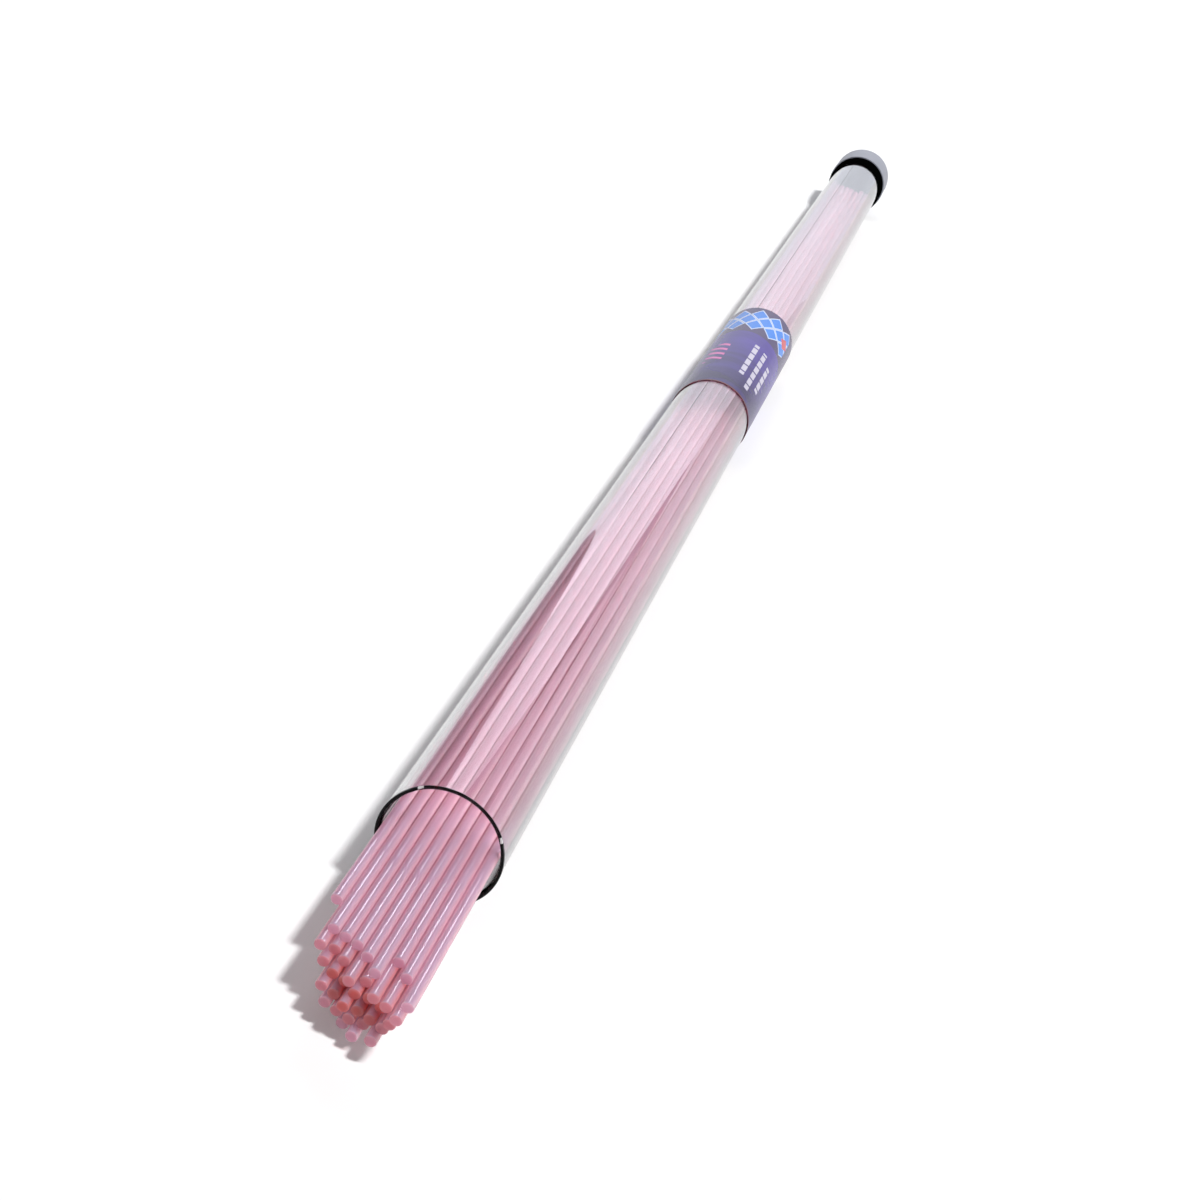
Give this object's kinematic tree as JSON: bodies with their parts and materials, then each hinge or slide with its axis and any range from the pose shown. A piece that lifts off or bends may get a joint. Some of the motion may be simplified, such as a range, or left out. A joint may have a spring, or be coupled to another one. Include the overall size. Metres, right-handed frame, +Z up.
{
  "type": "tube of glass rods",
  "caption": "Clear round tube lying on its side with loose pink glass rods standing out of its open mouth, a printed sleeve round it and a push-on cap on its far end.",
  "frame": {"origin": "on the table surface, under the middle of the whole length, rods included", "axes": "+Y runs along the tube from its open mouth to its cap, +Z is up, +X is to the right seen from the mouth"},
  "size_m": [0.0252, 0.6638, 0.0251],
  "materials": {
    "clear_plastic": "clear extruded, glossy",
    "black_edging": "black, satin",
    "printed_film": "printed film, semi-gloss",
    "black_rubber": "black rubber, matt",
    "grey_plastic": "grey moulded, satin",
    "pink_glass": "opal pink glass, drawn, glossy"
  },
  "bodies": {
    "tube": {"tube": "clear_plastic", "mouth_edging": "black_edging", "label_sleeve": "printed_film"},
    "end_cap": {"end_cap": "grey_plastic", "seal_ring": "black_rubber"},
    "rod_01": {"rod_01": "pink_glass"},
    "rod_02": {"rod_02": "pink_glass"},
    "rod_03": {"rod_03": "pink_glass"},
    "rod_04": {"rod_04": "pink_glass"},
    "rod_05": {"rod_05": "pink_glass"},
    "rod_06": {"rod_06": "pink_glass"},
    "rod_07": {"rod_07": "pink_glass"},
    "rod_08": {"rod_08": "pink_glass"},
    "rod_09": {"rod_09": "pink_glass"},
    "rod_10": {"rod_10": "pink_glass"},
    "rod_11": {"rod_11": "pink_glass"},
    "rod_12": {"rod_12": "pink_glass"},
    "rod_13": {"rod_13": "pink_glass"},
    "rod_14": {"rod_14": "pink_glass"},
    "rod_15": {"rod_15": "pink_glass"},
    "rod_16": {"rod_16": "pink_glass"},
    "rod_17": {"rod_17": "pink_glass"},
    "rod_18": {"rod_18": "pink_glass"},
    "rod_19": {"rod_19": "pink_glass"},
    "rod_20": {"rod_20": "pink_glass"},
    "rod_21": {"rod_21": "pink_glass"},
    "rod_22": {"rod_22": "pink_glass"},
    "rod_23": {"rod_23": "pink_glass"},
    "rod_24": {"rod_24": "pink_glass"},
    "rod_25": {"rod_25": "pink_glass"},
    "rod_26": {"rod_26": "pink_glass"},
    "rod_27": {"rod_27": "pink_glass"},
    "rod_28": {"rod_28": "pink_glass"},
    "rod_29": {"rod_29": "pink_glass"},
    "rod_30": {"rod_30": "pink_glass"},
    "rod_31": {"rod_31": "pink_glass"},
    "rod_32": {"rod_32": "pink_glass"},
    "rod_33": {"rod_33": "pink_glass"},
    "rod_34": {"rod_34": "pink_glass"},
    "rod_35": {"rod_35": "pink_glass"},
    "rod_36": {"rod_36": "pink_glass"},
    "rod_37": {"rod_37": "pink_glass"}
  },
  "joints": [
    {"name": "cap_pull", "type": "slide", "parent": "tube", "child": "end_cap", "axis": [0, 1, 0], "range_m": [0, 0.04]},
    {"name": "rod_01_slide", "type": "slide", "parent": "tube", "child": "rod_01", "axis": [0, -1, 0], "range_m": [-0.0465, 0.577]},
    {"name": "rod_02_slide", "type": "slide", "parent": "tube", "child": "rod_02", "axis": [0, -1, 0], "range_m": [-0.0485, 0.575]},
    {"name": "rod_03_slide", "type": "slide", "parent": "tube", "child": "rod_03", "axis": [0, -1, 0], "range_m": [-0.0455, 0.578]},
    {"name": "rod_04_slide", "type": "slide", "parent": "tube", "child": "rod_04", "axis": [0, -1, 0], "range_m": [-0.0465, 0.577]},
    {"name": "rod_05_slide", "type": "slide", "parent": "tube", "child": "rod_05", "axis": [0, -1, 0], "range_m": [-0.0475, 0.576]},
    {"name": "rod_06_slide", "type": "slide", "parent": "tube", "child": "rod_06", "axis": [0, -1, 0], "range_m": [-0.0475, 0.576]},
    {"name": "rod_07_slide", "type": "slide", "parent": "tube", "child": "rod_07", "axis": [0, -1, 0], "range_m": [-0.0505, 0.573]},
    {"name": "rod_08_slide", "type": "slide", "parent": "tube", "child": "rod_08", "axis": [0, -1, 0], "range_m": [-0.0445, 0.579]},
    {"name": "rod_09_slide", "type": "slide", "parent": "tube", "child": "rod_09", "axis": [0, -1, 0], "range_m": [-0.0455, 0.578]},
    {"name": "rod_10_slide", "type": "slide", "parent": "tube", "child": "rod_10", "axis": [0, -1, 0], "range_m": [-0.0475, 0.576]},
    {"name": "rod_11_slide", "type": "slide", "parent": "tube", "child": "rod_11", "axis": [0, -1, 0], "range_m": [-0.0475, 0.576]},
    {"name": "rod_12_slide", "type": "slide", "parent": "tube", "child": "rod_12", "axis": [0, -1, 0], "range_m": [-0.0485, 0.575]},
    {"name": "rod_13_slide", "type": "slide", "parent": "tube", "child": "rod_13", "axis": [0, -1, 0], "range_m": [-0.0495, 0.574]},
    {"name": "rod_14_slide", "type": "slide", "parent": "tube", "child": "rod_14", "axis": [0, -1, 0], "range_m": [-0.0415, 0.582]},
    {"name": "rod_15_slide", "type": "slide", "parent": "tube", "child": "rod_15", "axis": [0, -1, 0], "range_m": [-0.0435, 0.58]},
    {"name": "rod_16_slide", "type": "slide", "parent": "tube", "child": "rod_16", "axis": [0, -1, 0], "range_m": [-0.0445, 0.579]},
    {"name": "rod_17_slide", "type": "slide", "parent": "tube", "child": "rod_17", "axis": [0, -1, 0], "range_m": [-0.0465, 0.577]},
    {"name": "rod_18_slide", "type": "slide", "parent": "tube", "child": "rod_18", "axis": [0, -1, 0], "range_m": [-0.0465, 0.577]},
    {"name": "rod_19_slide", "type": "slide", "parent": "tube", "child": "rod_19", "axis": [0, -1, 0], "range_m": [-0.0475, 0.576]},
    {"name": "rod_20_slide", "type": "slide", "parent": "tube", "child": "rod_20", "axis": [0, -1, 0], "range_m": [-0.0505, 0.573]},
    {"name": "rod_21_slide", "type": "slide", "parent": "tube", "child": "rod_21", "axis": [0, -1, 0], "range_m": [-0.0405, 0.583]},
    {"name": "rod_22_slide", "type": "slide", "parent": "tube", "child": "rod_22", "axis": [0, -1, 0], "range_m": [-0.0405, 0.583]},
    {"name": "rod_23_slide", "type": "slide", "parent": "tube", "child": "rod_23", "axis": [0, -1, 0], "range_m": [-0.0425, 0.581]},
    {"name": "rod_24_slide", "type": "slide", "parent": "tube", "child": "rod_24", "axis": [0, -1, 0], "range_m": [-0.0465, 0.577]},
    {"name": "rod_25_slide", "type": "slide", "parent": "tube", "child": "rod_25", "axis": [0, -1, 0], "range_m": [-0.0455, 0.578]},
    {"name": "rod_26_slide", "type": "slide", "parent": "tube", "child": "rod_26", "axis": [0, -1, 0], "range_m": [-0.0485, 0.575]},
    {"name": "rod_27_slide", "type": "slide", "parent": "tube", "child": "rod_27", "axis": [0, -1, 0], "range_m": [-0.0495, 0.574]},
    {"name": "rod_28_slide", "type": "slide", "parent": "tube", "child": "rod_28", "axis": [0, -1, 0], "range_m": [-0.0515, 0.572]},
    {"name": "rod_29_slide", "type": "slide", "parent": "tube", "child": "rod_29", "axis": [0, -1, 0], "range_m": [-0.0315, 0.592]},
    {"name": "rod_30_slide", "type": "slide", "parent": "tube", "child": "rod_30", "axis": [0, -1, 0], "range_m": [-0.0385, 0.585]},
    {"name": "rod_31_slide", "type": "slide", "parent": "tube", "child": "rod_31", "axis": [0, -1, 0], "range_m": [-0.0395, 0.584]},
    {"name": "rod_32_slide", "type": "slide", "parent": "tube", "child": "rod_32", "axis": [0, -1, 0], "range_m": [-0.0405, 0.583]},
    {"name": "rod_33_slide", "type": "slide", "parent": "tube", "child": "rod_33", "axis": [0, -1, 0], "range_m": [-0.0425, 0.581]},
    {"name": "rod_34_slide", "type": "slide", "parent": "tube", "child": "rod_34", "axis": [0, -1, 0], "range_m": [-0.0455, 0.578]},
    {"name": "rod_35_slide", "type": "slide", "parent": "tube", "child": "rod_35", "axis": [0, -1, 0], "range_m": [-0.0415, 0.582]},
    {"name": "rod_36_slide", "type": "slide", "parent": "tube", "child": "rod_36", "axis": [0, -1, 0], "range_m": [-0.0445, 0.579]},
    {"name": "rod_37_slide", "type": "slide", "parent": "tube", "child": "rod_37", "axis": [0, -1, 0], "range_m": [-0.0505, 0.573]}
  ]
}
